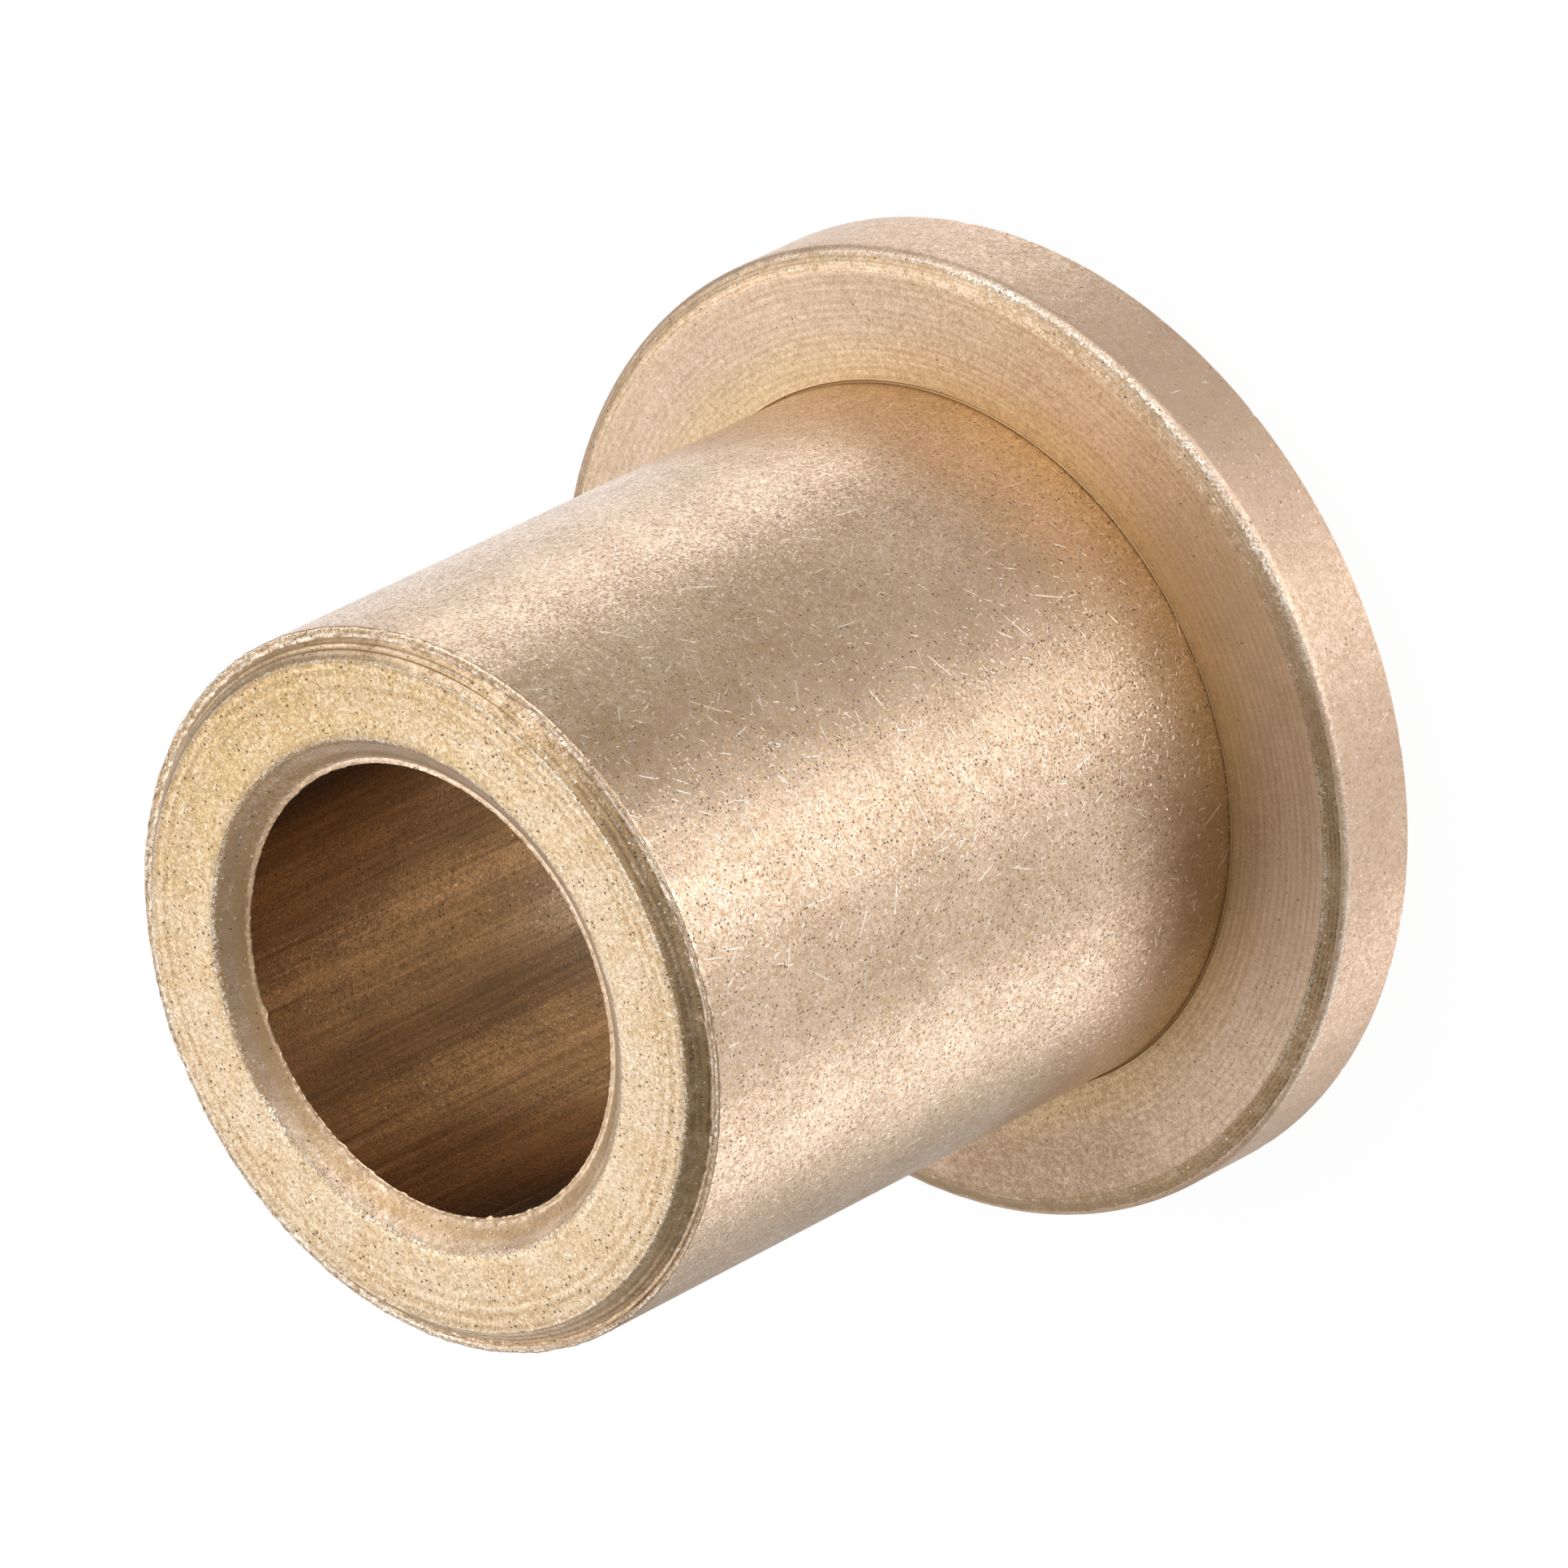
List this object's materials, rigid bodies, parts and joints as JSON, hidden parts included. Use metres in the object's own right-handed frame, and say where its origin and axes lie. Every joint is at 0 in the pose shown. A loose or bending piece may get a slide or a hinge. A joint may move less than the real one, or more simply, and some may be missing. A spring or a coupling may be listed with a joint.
{
  "type": "flanged bushing",
  "caption": "Plain sintered-bronze bushing: a straight sleeve with a through bore and a thrust flange at one end, chamfered at every rim.",
  "frame": {"origin": "centre of the flange's back face", "axes": "+Z along the bore axis, from the flange towards the sleeve's tip"},
  "size_m": [0.022, 0.022, 0.02],
  "materials": {
    "bronze": "satin, fine-grained"
  },
  "bodies": {
    "root": {"flanged_bushing": "bronze"}
  },
  "joints": []
}
